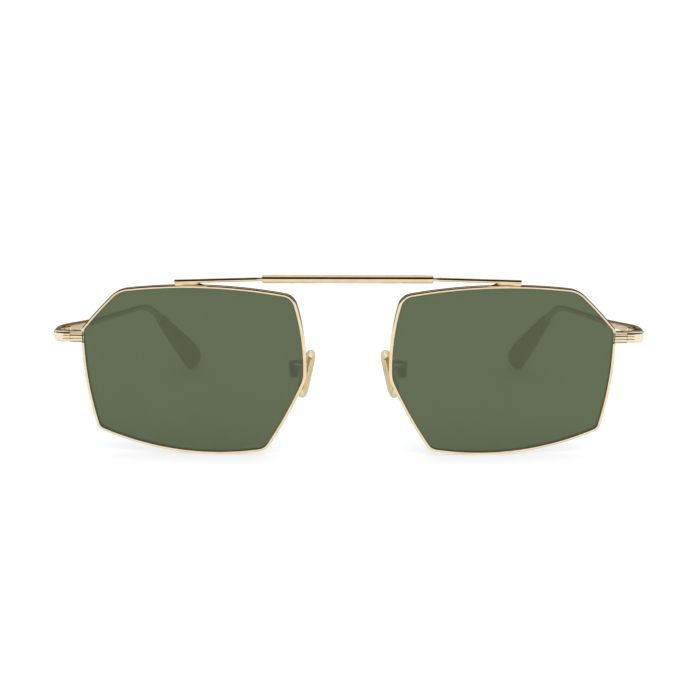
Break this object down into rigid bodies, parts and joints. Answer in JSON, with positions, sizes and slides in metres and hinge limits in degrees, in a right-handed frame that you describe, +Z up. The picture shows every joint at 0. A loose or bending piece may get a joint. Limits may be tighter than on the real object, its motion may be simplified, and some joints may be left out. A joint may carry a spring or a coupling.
{
  "type": "aviator sunglasses",
  "caption": "Thin gold-coloured metal sunglasses with flat six-sided green lenses held by a brow bar, folding temples with flat tips, and rocking nose pads.",
  "frame": {"origin": "on the table under the middle of the object as it stands with its temples open, on its lower rims and temple tips", "axes": "+X to the wearer's left, -Y the way the wearer looks, +Z up from the table"},
  "size_m": [0.1456, 0.1376, 0.0448],
  "materials": {
    "pale_gold": "polished pale gold plating",
    "polished_gold": "bright polished pale gold plating",
    "tinted_lens": "flat grey-green tint, polished",
    "tip_acetate": "polished honey-brown acetate",
    "pad_silicone": "clear, slightly yellow silicone"
  },
  "bodies": {
    "front": {"brow_rod": "pale_gold", "brow_sleeve": "polished_gold", "rim_left": "pale_gold", "lens_left": "tinted_lens", "closing_block_upper_left": "pale_gold", "closing_block_lower_left": "pale_gold", "rim_lock_screw_left": "pale_gold", "end_piece_left": "polished_gold", "hinge_front_left": "pale_gold", "hinge_screw_left": "pale_gold", "pad_arm_left": "pale_gold", "pad_screw_left": "pale_gold", "rim_right": "pale_gold", "lens_right": "tinted_lens", "closing_block_upper_right": "pale_gold", "closing_block_lower_right": "pale_gold", "rim_lock_screw_right": "pale_gold", "end_piece_right": "polished_gold", "hinge_front_right": "pale_gold", "hinge_screw_right": "pale_gold", "pad_arm_right": "pale_gold", "pad_screw_right": "pale_gold"},
    "temple_left": {"temple_arm_left": "pale_gold", "temple_tip_left": "tip_acetate", "hinge_temple_left": "pale_gold"},
    "pad_left": {"nose_pad_left": "pad_silicone", "pad_insert_left": "polished_gold"},
    "temple_right": {"temple_arm_right": "pale_gold", "temple_tip_right": "tip_acetate", "hinge_temple_right": "pale_gold"},
    "pad_right": {"nose_pad_right": "pad_silicone", "pad_insert_right": "polished_gold"}
  },
  "joints": [
    {"name": "temple_fold_left", "type": "hinge", "parent": "front", "child": "temple_left", "pos_m": [0.0703, -0.05497, 0.02927], "axis": [0, -0.0546, 0.9985], "range_deg": [0, 82]},
    {"name": "temple_fold_right", "type": "hinge", "parent": "front", "child": "temple_right", "pos_m": [-0.0703, -0.05497, 0.02927], "axis": [0, 0.0546, -0.9985], "range_deg": [0, 79]},
    {"name": "pad_rock_left", "type": "hinge", "parent": "front", "child": "pad_left", "pos_m": [0.01248, -0.06054, 0.02006], "axis": [0.2079, 0.9767, 0.0534], "range_deg": [-8, 8]},
    {"name": "pad_rock_right", "type": "hinge", "parent": "front", "child": "pad_right", "pos_m": [-0.01248, -0.06054, 0.02006], "axis": [-0.2079, 0.9767, 0.0534], "range_deg": [-8, 8]}
  ]
}
